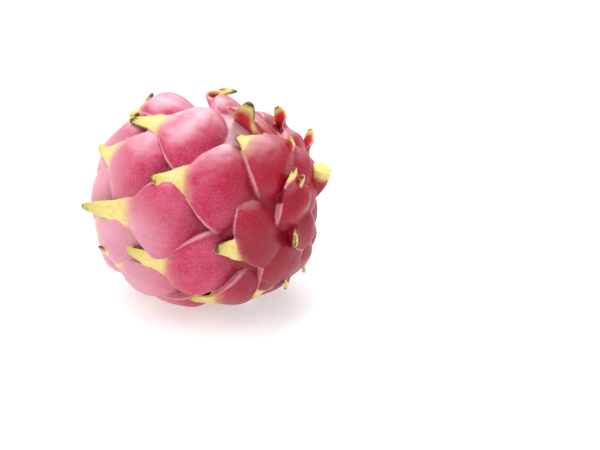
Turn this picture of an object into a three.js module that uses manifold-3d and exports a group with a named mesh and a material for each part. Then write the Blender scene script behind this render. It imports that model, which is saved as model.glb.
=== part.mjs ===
import * as THREE from "three";
import { mergeVertices } from "three/addons/utils/BufferGeometryUtils.js";
import Module from "manifold-3d";

// A whole red dragon fruit lying on its side, in millimetres.
// Its axis runs along X, the flower end at -X and the cut stem at +X, and +Z is up.

// Body under the scales, an egg of revolution
const BODY_RADIUS = 39.5;
const FLOWER_REACH = 42;
const STEM_REACH = 46.5;
const BODY_FULLNESS = 2.25;
const AXIS_HEIGHT = 42.2;

// Spiral on which the scales sit: each scale is turned by the golden angle from the one before
const GOLDEN_ANGLE = 137.5;
const FIRST_SCALE = -10;
const LAST_SCALE = 34;
const ZERO_TURN = 44;
const ZERO_STATION = -21.9;
const STATION_STEP = 2.75;
const CROWDING_STARTS = 18;
const CROWDING = 0.055;

// One full-grown scale: a fleshy pillow that ends in a free pointed blade
const PILLOW_BACK = 18;
const PILLOW_FRONT = 15;
const PILLOW_HALF_WIDTH = 19;
const PILLOW_HEIGHT = 6;
const BLADE_LENGTH = 15.5;
const BLADE_ROOT_HALF_WIDTH = 6;
const BLADE_TIP_HALF_WIDTH = 0.7;
const BLADE_THICKNESS = 2.4;
const MARGIN_THICKNESS = 1.1;
const ROOT_DEPTH = 6;
const WRAP_RADIUS = 42;

// How the scales lean and curl
const SKEW = 9;
const SKEW_SCATTER = 5;
const TWIST_SCATTER = 9;
const DROOP = 13;
const CURL = 170;
const CURL_LENGTH = 6;
const CURL_BLEND = 3;
const CURLED_FRONT = 4;
const CURLED_HALF_WIDTH = 9;
const CURLED_BLADE = 22;
const ERECT = 62;

// Shape of one scale, as shares of its own sizes
const BACK_NARROWING = 0.86;
const BACK_ROUNDNESS = 2.4;
const SHOULDER = 0.55;
const BACK_CROWN = -0.35;
const FRONT_FALL = 0.22;
const BACK_RIM = -0.55;
const FRONT_RIM = 0.6;
const CROWN_ROUNDNESS = 2.8;
const ROOT_INSET = 0.86;
const TAPER_ROUNDNESS = 0.65;
const TAPER_WAIST = 0.1;
const BLADE_CUP = 14;
const CURLED_BLADE_CUP = 10;
const MIDRIB_STEPS = 12;

// Where the scales curl back, round the axis, and where those of the two ends begin to stand up
const CREST_TURN = 97;
const CREST_BEGINS = 0.78;
const CREST_FULL = 0.93;
const ENDS_BEGIN = 34;
const STEM_END_FULL = 46;
const FLOWER_END_FULL = 48;
const STEM_LEAN = 0.75;
const FLOWER_LEAN = 0.3;
const STEM_NARROWING = 0.15;
const STEM_BLADE_WIDENING = 0.5;
const FLOWER_SHORTENING = 0.65;
const BLADE_SHRINKING = 0.4;

// How far chance moves a scale from the rule
const LEAN_SCATTER = 0.1;
const SIZE_SCATTER = 0.12;
const DROOP_SCATTER = 0.4;

// Scales that differ from the rule: angles in degrees, blades in millimetres, the rest as shares
const OWN_WAYS = new Map([
  [-5, { skew: 96, curl: 0, blade: 24, front: 0.7, droop: 0.1, yaw: 28 }],
  [-2, { curl: 0, blade: 10 }],
  [0, { skew: 32, blade: 18, droop: 0.2 }],
  [2, { skew: 24, blade: 13, droop: -1.4 }],
  [3, { skew: 10, curl: 0, blade: 8, front: 0.6, width: 0.75, height: 1.5 }],
  [5, { skew: 6, blade: 25, droop: 0.2, yaw: -5 }],
  [8, { skew: 20, blade: 17, curl: 0, front: 0.85, droop: 0.4 }],
  [10, { skew: 13, blade: 18 }],
  [11, { skew: 5, curl: 1, blade: 15, twist: 20 }],
  [13, { skew: 7, blade: 15, yaw: -8, droop: -0.6 }],
  [15, { skew: 6, blade: 12, front: 0.75 }],
  [16, { skew: -50, curl: 0.55, blade: 12.5, front: 0.3, twist: 30, height: 0.8 }],
  [18, { skew: -22, blade: 10.5, front: 0.62, yaw: 32, droop: 0 }],
  [21, { skew: 24, blade: 6.5, front: 1.1 }],
  [23, { skew: -40, blade: 10 }],
  [24, { curl: 0, blade: 13, front: 0.45, twist: 70 }],
  [26, { skew: 60, blade: 15, front: 0.6 }],
  [28, { blade: 8 }],
  [29, { blade: 9, twist: 40 }],
  [31, { blade: 7 }],
  [32, { blade: 18, front: 0.6, twist: 60 }],
  [34, { blade: 12 }],
]);

// Cut stem, bent upwards from the end of the axis
const STUB_RADIUS = 4.4;
const STUB_SIDES = 12;
const STUB_RINGS = 4;
const STUB_FLARE = 1.25;
const STUB_TAPER = 0.32;

// Withered flower left in the navel, clear of the flesh all round
const FLOWER_GAP = 0.4;
const FLOWER_RADIUS = 5.2;
const FLOWER_BASE = 1.8;
const PETAL_COUNT = 9;
const PETAL_LENGTH = 3;
const PETAL_WIDTH = 3.2;
const PETAL_THICKNESS = 0.9;

// Fineness of the solids
const BODY_RINGS = 14;
const BODY_SIDES = 28;
const PILLOW_STATIONS = 6;
const BLADE_STATIONS = 4;
const TOP_POINTS = 7;
const UNDER_POINTS = 3;
const SMALL_SIZE = 0.78;
const BLADE_CROWDING = 1.25;

const wasm = await Module();
wasm.setup();

const radians = THREE.MathUtils.degToRad;
const { clamp, lerp, smoothstep } = THREE.MathUtils;

// A repeatable draw between -1 and 1 for a scale's number and a purpose
function scatter(number, purpose) {
  const wave = Math.sin(number * 12.9898 + purpose * 78.233) * 43758.5453;
  return 2 * (wave - Math.floor(wave)) - 1;
}

// How far out a point lies in the body's own measure, where 1 is the surface
function bodyMeasure(p) {
  const reach = p.x < 0 ? FLOWER_REACH : STEM_REACH;
  const along = Math.pow(Math.abs(p.x) / reach, BODY_FULLNESS);
  const out = Math.pow(Math.hypot(p.y, p.z) / BODY_RADIUS, BODY_FULLNESS);
  return Math.pow(along + out, 1 / BODY_FULLNESS);
}

// The outward direction of the body's surface at a point of it
function bodyNormal(p) {
  const reach = p.x < 0 ? FLOWER_REACH : STEM_REACH;
  const n = BODY_FULLNESS;
  const along = (Math.sign(p.x) * Math.pow(Math.abs(p.x), n - 1)) / Math.pow(reach, n);
  const radius = Math.max(1e-9, Math.hypot(p.y, p.z));
  const out = Math.pow(radius, n - 1) / Math.pow(BODY_RADIUS, n) / radius;
  return new THREE.Vector3(along, p.y * out, p.z * out).normalize();
}

// The place reached by walking a distance over the body's surface along a heading
function walk(start, distance) {
  const steps = Math.max(1, Math.ceil(Math.abs(distance)));
  const point = start.point.clone();
  const heading = start.heading.clone();
  for (let i = 0; i < steps; i++) {
    point.addScaledVector(heading, distance / steps);
    point.divideScalar(bodyMeasure(point));
    const normal = bodyNormal(point);
    heading.addScaledVector(normal, -heading.dot(normal)).normalize();
  }
  const normal = bodyNormal(point);
  const across = new THREE.Vector3().crossVectors(heading, normal);
  return { point, heading, normal, across };
}

// Everything that sets one scale's place, size and attitude
function scaleOf(number) {
  const turn = radians(ZERO_TURN + GOLDEN_ANGLE * number);
  const crowd = CROWDING * Math.max(0, number - CROWDING_STARTS) ** 2;
  const station = ZERO_STATION + STATION_STEP * number - crowd;
  const own = OWN_WAYS.get(number) ?? {};
  const equator = {
    point: new THREE.Vector3(0, -Math.cos(turn), Math.sin(turn)).multiplyScalar(BODY_RADIUS),
    heading: new THREE.Vector3(1, 0, 0),
  };
  const seat = walk(equator, station);
  const size = Math.sqrt(Math.hypot(seat.point.y, seat.point.z) / BODY_RADIUS);
  const skew = radians(own.skew ?? SKEW + SKEW_SCATTER * scatter(number, 1));
  const tipward = seat.heading.clone().negate().multiplyScalar(Math.cos(skew));
  const heading = tipward.addScaledVector(seat.across, -Math.sin(skew));
  const crest = Math.cos(turn - radians(CREST_TURN));
  const stemEnd = smoothstep(station, ENDS_BEGIN, STEM_END_FULL);
  const flowerEnd = smoothstep(-station, ENDS_BEGIN, FLOWER_END_FULL);
  const crested = smoothstep(crest, CREST_BEGINS, CREST_FULL) * (1 - stemEnd) * (1 - flowerEnd);
  const curl = own.curl ?? crested;
  const lean = STEM_LEAN * stemEnd + FLOWER_LEAN * flowerEnd + LEAN_SCATTER * scatter(number, 2);
  const straight = BLADE_LENGTH * (1 + SIZE_SCATTER * scatter(number, 4));
  const length = lerp(straight, CURLED_BLADE, curl);
  const rootHalfWidth = lerp(BLADE_ROOT_HALF_WIDTH, CURLED_HALF_WIDTH, curl);
  const plump = own.height ?? 1 + SIZE_SCATTER * scatter(number, 3);
  const shorter = Math.pow(size, BLADE_SHRINKING) * (1 - FLOWER_SHORTENING * flowerEnd);
  return {
    seat: { point: seat.point, heading },
    size,
    back: PILLOW_BACK * size,
    front: lerp(PILLOW_FRONT, CURLED_FRONT, curl) * size * (own.front ?? 1),
    halfWidth: PILLOW_HALF_WIDTH * size * (own.width ?? 1) * (1 - STEM_NARROWING * stemEnd),
    rootHalfWidth: rootHalfWidth * size * (1 + STEM_BLADE_WIDENING * stemEnd),
    height: PILLOW_HEIGHT * Math.sqrt(size) * plump,
    blade: (own.blade ?? length) * shorter,
    bent: curl,
    curl: radians(CURL) * curl,
    yaw: radians(own.yaw ?? 0),
    erect: radians(ERECT) * clamp(lean, 0, 1) * (1 - curl),
    twist: radians(own.twist ?? TWIST_SCATTER * scatter(number, 6)),
    droop: radians(DROOP) * (own.droop ?? 1 + DROOP_SCATTER * scatter(number, 5)) * (1 - curl),
  };
}

// Half the pillow's width at a distance in front of the scale's middle
function pillowHalfWidth(scale, s) {
  if (s < 0) {
    const back = clamp(-s / scale.back, 0, 1);
    return scale.halfWidth * Math.sqrt(1 - BACK_NARROWING * Math.pow(back, BACK_ROUNDNESS));
  }
  const ahead = clamp(s / scale.front, 0, 1);
  const ease = (1 - ahead) * (1 + SHOULDER * ahead);
  return lerp(scale.rootHalfWidth, scale.halfWidth, ease);
}

// Height of the pillow's skin over the body
function pillowTop(scale, s, v) {
  const rise = smoothstep(s, -scale.back * 1.05, 1.5 * scale.size);
  const fall = smoothstep(s, 2 * scale.size, scale.front * 1.1);
  const crown = scale.height * (lerp(BACK_CROWN, 1, rise) - FRONT_FALL * fall);
  const lifted = smoothstep(s, -10 * scale.size, 6 * scale.size);
  const rim = scale.height * lerp(BACK_RIM, FRONT_RIM, lifted);
  return lerp(rim, crown, 1 - Math.pow(Math.abs(v), CROWN_ROUNDNESS));
}

// A point of the pillow, on its skin or on its hidden root
function pillowPoint(scale, s, v, onTop) {
  const place = walk(scale.seat, s);
  const halfWidth = pillowHalfWidth(scale, s);
  const top = pillowTop(scale, s, v);
  const freed = smoothstep(s, scale.front - 3, scale.front + 5);
  const under = lerp(-ROOT_DEPTH, top - BLADE_THICKNESS, freed);
  const height = onTop ? top : under;
  const inset = onTop ? 1 : lerp(ROOT_INSET, 1, freed);
  const angle = (v * inset * halfWidth) / WRAP_RADIUS;
  const arm = WRAP_RADIUS + height;
  return place.point
    .clone()
    .addScaledVector(place.across, arm * Math.sin(angle))
    .addScaledVector(place.normal, arm * Math.cos(angle) - WRAP_RADIUS);
}

// Direction of the blade's midrib, as an angle over the surface at its root
function bladeAngle(scale, l) {
  const curled = scale.curl * smoothstep(l, 0, CURL_LENGTH * scale.size);
  const raised = scale.erect * smoothstep(l, -2, 0.5 * scale.blade);
  return curled + raised - scale.droop * clamp(l / scale.blade, 0, 1);
}

// A point of the free blade, on its outer or its inner face
function bladePoint(scale, l, v, onTop) {
  const root = walk(scale.seat, scale.front);
  root.heading.applyAxisAngle(root.normal, -scale.yaw);
  root.across.applyAxisAngle(root.normal, -scale.yaw);
  const reach = clamp(l, 0, scale.blade);
  const spine = root.point.clone();
  spine.addScaledVector(root.normal, pillowTop(scale, scale.front, 0) - 0.5 * BLADE_THICKNESS);
  for (let i = 0; i < MIDRIB_STEPS; i++) {
    const angle = bladeAngle(scale, ((i + 0.5) * reach) / MIDRIB_STEPS);
    spine.addScaledVector(root.heading, (Math.cos(angle) * reach) / MIDRIB_STEPS);
    spine.addScaledVector(root.normal, (Math.sin(angle) * reach) / MIDRIB_STEPS);
  }
  const angle = bladeAngle(scale, reach);
  const part = reach / scale.blade;
  const facing = root.normal.clone().multiplyScalar(Math.cos(angle));
  facing.addScaledVector(root.heading, -Math.sin(angle));
  const along = root.heading.clone().multiplyScalar(Math.cos(angle));
  along.addScaledVector(root.normal, Math.sin(angle));
  const twist = scale.twist * smoothstep(part, 0.1, 0.7);
  facing.applyAxisAngle(along, twist);
  const across = root.across.clone().applyAxisAngle(along, twist);
  const taper = Math.pow(1 - part, TAPER_ROUNDNESS) * (1 - TAPER_WAIST * Math.sin(Math.PI * part));
  const halfWidth = lerp(BLADE_TIP_HALF_WIDTH, scale.rootHalfWidth, taper);
  const cup = lerp(BLADE_CUP, CURLED_BLADE_CUP, clamp(scale.curl, 0, 1));
  const cupRadius = lerp(WRAP_RADIUS, cup, smoothstep(part, 0, 0.5));
  const bend = (v * halfWidth) / cupRadius;
  const middle = lerp(BLADE_THICKNESS, MARGIN_THICKNESS, part);
  const thickness = lerp(MARGIN_THICKNESS, middle, 1 - v * v);
  const offset = (onTop ? 0.5 : -0.5) * thickness;
  return spine
    .addScaledVector(across, (cupRadius + offset) * Math.sin(bend))
    .addScaledVector(facing, (cupRadius + offset) * Math.cos(bend) - cupRadius);
}

// A point anywhere on a scale: s runs from the pillow's back to the blade's tip
function scalePoint(scale, s, v, onTop) {
  const l = s - scale.front;
  const free = smoothstep(l, -1, lerp(0.35 * scale.blade, CURL_BLEND, scale.bent));
  if (free <= 0) return pillowPoint(scale, s, v, onTop);
  const blade = bladePoint(scale, l, v, onTop);
  if (free >= 1) return blade;
  const along = Math.min(s, scale.front + 0.5 * Math.max(0, l));
  return pillowPoint(scale, along, v, onTop).lerp(blade, free);
}

// A solid from points and triangles
function solidOf(points, triangles) {
  const geometry = new THREE.BufferGeometry();
  geometry.setFromPoints(points);
  geometry.setIndex(triangles);
  return solidOfGeometry(geometry);
}

// A solid from any closed geometry
function solidOfGeometry(geometry) {
  const bare = geometry.clone();
  bare.deleteAttribute("normal");
  bare.deleteAttribute("uv");
  const merged = mergeVertices(bare, 1e-4);
  const corners = merged.index.array;
  const kept = [];
  for (let i = 0; i < corners.length; i += 3) {
    const [a, b, c] = corners.slice(i, i + 3);
    if (a !== b && b !== c && c !== a) kept.push(a, b, c);
  }
  return new wasm.Manifold(
    new wasm.Mesh({
      numProp: 3,
      vertProperties: merged.attributes.position.array,
      triVerts: new Uint32Array(kept),
    }),
  );
}

// A closed solid through rings of points, which turn right-handed about the way they advance
function loft(rings) {
  const sides = rings[0].length;
  const points = rings.flat();
  const triangles = [];
  for (let i = 0; i + 1 < rings.length; i++) {
    for (let j = 0; j < sides; j++) {
      const a = i * sides + j;
      const b = i * sides + ((j + 1) % sides);
      triangles.push(a, b, b + sides, a, b + sides, a + sides);
    }
  }
  const last = (rings.length - 1) * sides;
  for (let j = 1; j + 1 < sides; j++) {
    triangles.push(0, j + 1, j, last, last + j, last + j + 1);
  }
  return solidOf(points, triangles);
}

// One scale as a closed solid, ringed from its pillow's back to its tip
function scaleSolid(number) {
  const scale = scaleOf(number);
  const small = scale.size < SMALL_SIZE;
  const pillowStations = PILLOW_STATIONS - (small ? 2 : 0);
  const bladeStations = BLADE_STATIONS - (small ? 1 : 0) + (scale.curl > 0 ? 1 : 0);
  const topPoints = TOP_POINTS - (small ? 2 : 0);
  const stations = [];
  for (let i = 0; i < pillowStations; i++) {
    stations.push(lerp(-scale.back, scale.front, i / (pillowStations - 1)));
  }
  for (let i = 1; i <= bladeStations; i++) {
    stations.push(scale.front + scale.blade * Math.pow(i / bladeStations, BLADE_CROWDING));
  }
  const rings = stations.map((s) => {
    const ring = [];
    for (let j = 0; j < topPoints; j++) {
      ring.push(scalePoint(scale, s, lerp(-1, 1, j / (topPoints - 1)), true));
    }
    for (let j = 0; j < UNDER_POINTS; j++) {
      ring.push(scalePoint(scale, s, lerp(1, -1, j / (UNDER_POINTS - 1)), false));
    }
    return ring;
  });
  return loft(rings);
}

// The smooth egg that carries the scales
function bodySolid() {
  const profile = [];
  for (let i = 0; i <= BODY_RINGS; i++) {
    const angle = Math.PI * (i / BODY_RINGS - 0.5);
    const p = new THREE.Vector3(Math.sin(angle), Math.cos(angle), 0);
    const reach = angle < 0 ? FLOWER_REACH : STEM_REACH;
    p.x *= reach;
    p.y *= BODY_RADIUS;
    p.divideScalar(bodyMeasure(p));
    const onAxis = i === 0 || i === BODY_RINGS;
    profile.push(new THREE.Vector2(onAxis ? 0 : p.y, p.x));
  }
  const geometry = new THREE.LatheGeometry(profile, BODY_SIDES);
  geometry.rotateZ(-Math.PI / 2);
  return solidOfGeometry(geometry);
}

// The short cut stem, which leaves the end of the axis and bends upwards
function stubSolid() {
  const path = new THREE.CatmullRomCurve3([
    new THREE.Vector3(STEM_REACH - 7, 0, 4),
    new THREE.Vector3(STEM_REACH - 1, -1, 8),
    new THREE.Vector3(STEM_REACH + 3, -2, 13),
    new THREE.Vector3(STEM_REACH + 5, -3, 18),
  ]);
  const rings = [];
  for (let i = 0; i <= STUB_RINGS; i++) {
    const share = i / STUB_RINGS;
    const centre = path.getPoint(share);
    const ahead = path.getTangent(share);
    const side = new THREE.Vector3().crossVectors(ahead, new THREE.Vector3(0, 1, 0)).normalize();
    const up = new THREE.Vector3().crossVectors(ahead, side);
    const radius = STUB_RADIUS * (STUB_FLARE - STUB_TAPER * share);
    const ring = [];
    for (let j = 0; j < STUB_SIDES; j++) {
      const angle = (2 * Math.PI * j) / STUB_SIDES;
      const p = centre.clone().addScaledVector(side, radius * Math.cos(angle));
      ring.push(p.addScaledVector(up, radius * Math.sin(angle)));
    }
    rings.push(ring);
  }
  return loft(rings);
}

// Everything above the plane of the resting spot
function aboveGround(solid) {
  const slab = new THREE.BoxGeometry(400, 400, 100);
  slab.translate(0, 0, -AXIS_HEIGHT - 50);
  return solid.subtract(solidOfGeometry(slab));
}

// The largest of the bodies that a solid falls into
function largestBody(solid) {
  const bodies = solid.decompose();
  bodies.sort((a, b) => b.volume() - a.volume());
  return bodies[0];
}

// The round room that the withered flower takes up in the navel
function navelRoom() {
  const length = 40;
  const room = new THREE.CylinderGeometry(FLOWER_RADIUS + 1, FLOWER_RADIUS + 1, length, 16);
  room.rotateZ(Math.PI / 2);
  room.translate(-FLOWER_REACH - length / 2, 0, 0);
  return solidOfGeometry(room);
}

// Body, stem and scales as one, cleared round the withered flower and cut flat below
function fruitSolid() {
  let fruit = bodySolid().add(stubSolid());
  for (let number = FIRST_SCALE; number <= LAST_SCALE; number++) {
    fruit = fruit.add(scaleSolid(number));
  }
  return largestBody(aboveGround(fruit.subtract(navelRoom())));
}

// One dry strip of the withered flower, twisted and leaning out from the axis
function driedPetal(number) {
  const turn = (2 * Math.PI * number) / PETAL_COUNT + 0.25 * scatter(number, 11);
  const length = PETAL_LENGTH * (1 + 0.3 * scatter(number, 12));
  const lean = 0.14 + 0.12 * scatter(number, 13);
  const rings = [];
  for (let i = 0; i <= 3; i++) {
    const part = i / 3;
    const radius = 0.52 * FLOWER_RADIUS + lean * length * part;
    const face = turn + 0.9 * part * scatter(number, 14);
    const half = 0.5 * PETAL_WIDTH * (1 - 0.55 * part * part);
    const x = -FLOWER_REACH - FLOWER_GAP - 0.5 * FLOWER_BASE - length * part;
    const middle = new THREE.Vector3(x, -radius * Math.cos(turn), radius * Math.sin(turn));
    const wide = new THREE.Vector3(0, Math.sin(face), Math.cos(face));
    const thin = new THREE.Vector3(0, -Math.cos(face), Math.sin(face));
    const corners = [[-1, 1], [1, 1], [1, -1], [-1, -1]];
    rings.push(
      corners.map(([w, t]) =>
        middle
          .clone()
          .addScaledVector(wide, w * half)
          .addScaledVector(thin, 0.5 * t * PETAL_THICKNESS),
      ),
    );
  }
  return loft(rings);
}

// The withered flower: a dry disc with its shrivelled petals
function driedFlowerSolid() {
  const disc = new THREE.CylinderGeometry(0.8 * FLOWER_RADIUS, FLOWER_RADIUS, FLOWER_BASE, 14);
  disc.rotateZ(Math.PI / 2);
  disc.translate(-FLOWER_REACH - FLOWER_GAP - FLOWER_BASE / 2, 0, 0);
  let flower = solidOfGeometry(disc);
  for (let number = 0; number < PETAL_COUNT; number++) {
    flower = flower.add(driedPetal(number));
  }
  return flower;
}

// A mesh from a solid, with its node's name and finish
function meshOf(solid, name, material) {
  const { vertProperties, triVerts, numProp } = solid.getMesh();
  const positions = new Float32Array((vertProperties.length / numProp) * 3);
  for (let i = 0; i * numProp < vertProperties.length; i++) {
    for (let j = 0; j < 3; j++) positions[i * 3 + j] = vertProperties[i * numProp + j];
  }
  const geometry = new THREE.BufferGeometry();
  geometry.setAttribute("position", new THREE.BufferAttribute(positions, 3));
  geometry.setIndex(new THREE.BufferAttribute(new Uint32Array(triVerts), 1));
  geometry.computeVertexNormals();
  const mesh = new THREE.Mesh(geometry, material);
  mesh.name = name;
  return mesh;
}

const group = new THREE.Group();
const fruit = meshOf(
  fruitSolid(),
  "dragon_fruit",
  new THREE.MeshStandardMaterial({ color: 0xd6557c, roughness: 0.45, metalness: 0 }),
);
const driedFlower = meshOf(
  driedFlowerSolid(),
  "dried_flower",
  new THREE.MeshStandardMaterial({ color: 0x54402c, roughness: 0.9, metalness: 0 }),
);
group.add(fruit, driedFlower);

// The origin stands under the middle of the whole, on the resting plane
const box = new THREE.Box3().setFromObject(group);
const middle = box.getCenter(new THREE.Vector3());
for (const mesh of [fruit, driedFlower]) {
  mesh.geometry.translate(-middle.x, -middle.y, AXIS_HEIGHT);
}

export default group;
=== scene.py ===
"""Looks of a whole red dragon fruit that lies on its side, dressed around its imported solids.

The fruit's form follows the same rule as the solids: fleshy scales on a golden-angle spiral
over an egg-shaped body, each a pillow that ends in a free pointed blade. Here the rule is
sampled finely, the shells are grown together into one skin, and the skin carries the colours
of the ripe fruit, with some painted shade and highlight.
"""

import logging
import math
from dataclasses import dataclass, field
from enum import Enum
from typing import Any

import bpy
import numpy as np
from mathutils import Matrix, Vector, noise
from mathutils.bvhtree import BVHTree

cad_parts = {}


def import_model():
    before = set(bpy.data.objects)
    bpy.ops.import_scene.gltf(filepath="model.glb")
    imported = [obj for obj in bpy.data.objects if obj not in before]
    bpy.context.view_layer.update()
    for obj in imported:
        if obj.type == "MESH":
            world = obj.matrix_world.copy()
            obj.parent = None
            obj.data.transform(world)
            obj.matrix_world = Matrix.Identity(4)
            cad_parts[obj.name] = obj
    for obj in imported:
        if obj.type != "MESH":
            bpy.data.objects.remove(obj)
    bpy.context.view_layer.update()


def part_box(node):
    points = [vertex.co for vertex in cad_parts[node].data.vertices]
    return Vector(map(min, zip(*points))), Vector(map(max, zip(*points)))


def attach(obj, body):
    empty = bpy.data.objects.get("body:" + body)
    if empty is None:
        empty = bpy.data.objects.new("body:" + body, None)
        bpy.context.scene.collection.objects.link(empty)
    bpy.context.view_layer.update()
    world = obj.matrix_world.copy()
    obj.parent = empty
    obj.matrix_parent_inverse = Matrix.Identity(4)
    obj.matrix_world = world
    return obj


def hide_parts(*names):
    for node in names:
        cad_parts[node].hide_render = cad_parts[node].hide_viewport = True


LOG = logging.getLogger("dragon_fruit")
MM = 0.001

Colour = tuple[float, float, float, float]
Array = np.ndarray


def srgb(code: str) -> Colour:
    """Turn an sRGB hex colour into linear light.

    Args:
        code: Six hex digits, with or without a leading hash.

    Returns:
        Red, green, blue and alpha in linear light.
    """
    digits = code.lstrip("#")
    parts = [int(digits[i : i + 2], 16) / 255 for i in (0, 2, 4)]
    linear = [c / 12.92 if c <= 0.04045 else ((c + 0.055) / 1.055) ** 2.4 for c in parts]
    return (linear[0], linear[1], linear[2], 1.0)


def smoothstep(x: Any, low: float, high: float) -> Any:
    """Ease from 0 at low to 1 at high, for a number or an array."""
    t = np.clip((x - low) / (high - low), 0.0, 1.0)
    return t * t * (3 - 2 * t)


def lerp(a: Any, b: Any, t: Any) -> Any:
    """Blend from a to b by the share t."""
    return a + (b - a) * t


def unit(v: Array) -> Array:
    """Scale a vector to length 1."""
    return v / np.linalg.norm(v)


def turned(v: Array, axis: Array, angle: float) -> Array:
    """Turn a vector about a unit axis by an angle in radians, right-handed."""
    c, s = math.cos(angle), math.sin(angle)
    return v * c + np.cross(axis, v) * s + axis * (axis @ v) * (1 - c)


def scatter(number: int, purpose: int) -> float:
    """Draw a repeatable number between -1 and 1.

    Args:
        number: Which scale or petal the draw is for.
        purpose: Which property the draw is for.

    Returns:
        The draw, always the same for the same two numbers.
    """
    wave = math.sin(number * 12.9898 + purpose * 78.233) * 43758.5453
    return 2 * (wave - math.floor(wave)) - 1


@dataclass(frozen=True)
class Place:
    """A place on the body's surface, with the way on, the way out and the way across."""

    point: Array
    heading: Array
    normal: Array
    across: Array


@dataclass(frozen=True)
class Body:
    """The smooth egg of revolution under the scales, in millimetres about its own middle."""

    radius: float = 39.5
    flower_reach: float = 42
    stem_reach: float = 46.5
    fullness: float = 2.25
    axis_height: float = 42.2

    def measure(self, p: Array) -> float:
        """Tell how far out a point lies, where 1 is the surface."""
        reach = self.flower_reach if p[0] < 0 else self.stem_reach
        along = (abs(p[0]) / reach) ** self.fullness
        out = (math.hypot(p[1], p[2]) / self.radius) ** self.fullness
        return (along + out) ** (1 / self.fullness)

    def normal(self, p: Array) -> Array:
        """Find the outward direction at a point of the surface."""
        reach = self.flower_reach if p[0] < 0 else self.stem_reach
        n = self.fullness
        along = math.copysign(abs(p[0]) ** (n - 1) / reach**n, p[0])
        radius = max(1e-9, math.hypot(p[1], p[2]))
        out = radius ** (n - 1) / self.radius**n / radius
        return unit(np.array([along, p[1] * out, p[2] * out]))

    def walk(self, point: Array, heading: Array, distance: float) -> Place:
        """Walk over the surface.

        Args:
            point: Where the walk starts, on the surface.
            heading: The direction of the walk there.
            distance: How far to go, backwards if negative.

        Returns:
            The place reached.
        """
        steps = max(1, math.ceil(abs(distance)))
        p, h = np.array(point, float), np.array(heading, float)
        for _ in range(steps):
            p = p + h * (distance / steps)
            p = p / self.measure(p)
            n = self.normal(p)
            h = unit(h - n * (h @ n))
        n = self.normal(p)
        return Place(p, h, n, np.cross(h, n))


@dataclass(frozen=True)
class Spiral:
    """Where the scales sit: each one a golden angle on from the one before."""

    golden_angle: float = 137.5
    first: int = -10
    last: int = 34
    zero_turn: float = 44.0
    zero_station: float = -21.9
    step: float = 2.75
    crowding_starts: int = 18
    crowding: float = 0.055

    def turn(self, number: int) -> float:
        """Find the angle of a scale about the axis, in radians, 0 facing -Y."""
        return math.radians(self.zero_turn + self.golden_angle * number)

    def station(self, number: int) -> float:
        """Find how far along the surface a scale sits from the widest ring."""
        crowd = self.crowding * max(0, number - self.crowding_starts) ** 2
        return self.zero_station + self.step * number - crowd


@dataclass(frozen=True)
class OwnWay:
    """How one scale differs from the rule; what is None follows it.

    Skew, twist and yaw are in degrees, the blade in millimetres, and the rest are shares.
    """

    skew: float | None = None
    blade: float | None = None
    curl: float | None = None
    droop: float | None = None
    twist: float | None = None
    yaw: float = 0
    front: float = 1
    width: float = 1
    height: float | None = None


OWN_WAYS = {
    -5: OwnWay(skew=96, curl=0, blade=24, front=0.7, droop=0.1, yaw=28),
    -2: OwnWay(curl=0, blade=10),
    0: OwnWay(skew=32, blade=18, droop=0.2),
    2: OwnWay(skew=24, blade=13, droop=-1.4),
    3: OwnWay(skew=10, curl=0, blade=8, front=0.6, width=0.75, height=1.5),
    5: OwnWay(skew=6, blade=25, droop=0.2, yaw=-5),
    8: OwnWay(skew=20, blade=17, curl=0, front=0.85, droop=0.4),
    10: OwnWay(skew=13, blade=18),
    11: OwnWay(skew=5, curl=1, blade=15, twist=20),
    13: OwnWay(skew=7, blade=15, yaw=-8, droop=-0.6),
    15: OwnWay(skew=6, blade=12, front=0.75),
    16: OwnWay(skew=-50, curl=0.55, blade=12.5, front=0.3, twist=30, height=0.8),
    18: OwnWay(skew=-22, blade=10.5, front=0.62, yaw=32, droop=0),
    21: OwnWay(skew=24, blade=6.5, front=1.1),
    23: OwnWay(skew=-40, blade=10),
    24: OwnWay(curl=0, blade=13, front=0.45, twist=70),
    26: OwnWay(skew=60, blade=15, front=0.6),
    28: OwnWay(blade=8),
    29: OwnWay(blade=9, twist=40),
    31: OwnWay(blade=7),
    32: OwnWay(blade=18, front=0.6, twist=60),
    34: OwnWay(blade=12),
}


@dataclass(frozen=True)
class ScaleHabit:
    """What all scales share: sizes in millimetres, attitudes in degrees, and shares of both."""

    # Sizes of a full-grown scale
    pillow_back: float = 18
    pillow_front: float = 15
    half_width: float = 19
    height: float = 6
    blade: float = 15.5
    root_half_width: float = 6
    tip_half_width: float = 0.7
    thickness: float = 2.4
    margin: float = 1.1
    root_depth: float = 6
    wrap: float = 42
    # How it lies, leans and curls
    skew: float = 9
    skew_scatter: float = 5
    twist_scatter: float = 9
    droop: float = 13
    curl: float = 170
    curl_length: float = 6
    curl_blend: float = 3
    curled_front: float = 4
    curled_half_width: float = 9
    curled_blade: float = 22
    erect: float = 62
    # Form of its pillow and of its blade
    back_narrowing: float = 0.86
    back_roundness: float = 2.4
    shoulder: float = 0.55
    back_crown: float = -0.35
    front_fall: float = 0.22
    back_rim: float = -0.55
    front_rim: float = 0.6
    crown_roundness: float = 2.8
    root_inset: float = 0.86
    taper_roundness: float = 0.65
    taper_waist: float = 0.1
    blade_cup: float = 14
    curled_blade_cup: float = 10
    midrib_steps: int = 12
    # Where the scales curl back, and what changes towards the two ends
    crest_turn: float = 97
    crest_begins: float = 0.78
    crest_full: float = 0.93
    ends_begin: float = 34
    stem_end_full: float = 46
    flower_end_full: float = 48
    stem_lean: float = 0.75
    flower_lean: float = 0.3
    stem_narrowing: float = 0.15
    stem_blade_widening: float = 0.5
    flower_shortening: float = 0.65
    blade_shrinking: float = 0.4
    # How far chance moves a scale from the rule
    lean_scatter: float = 0.1
    size_scatter: float = 0.12
    droop_scatter: float = 0.4


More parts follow.
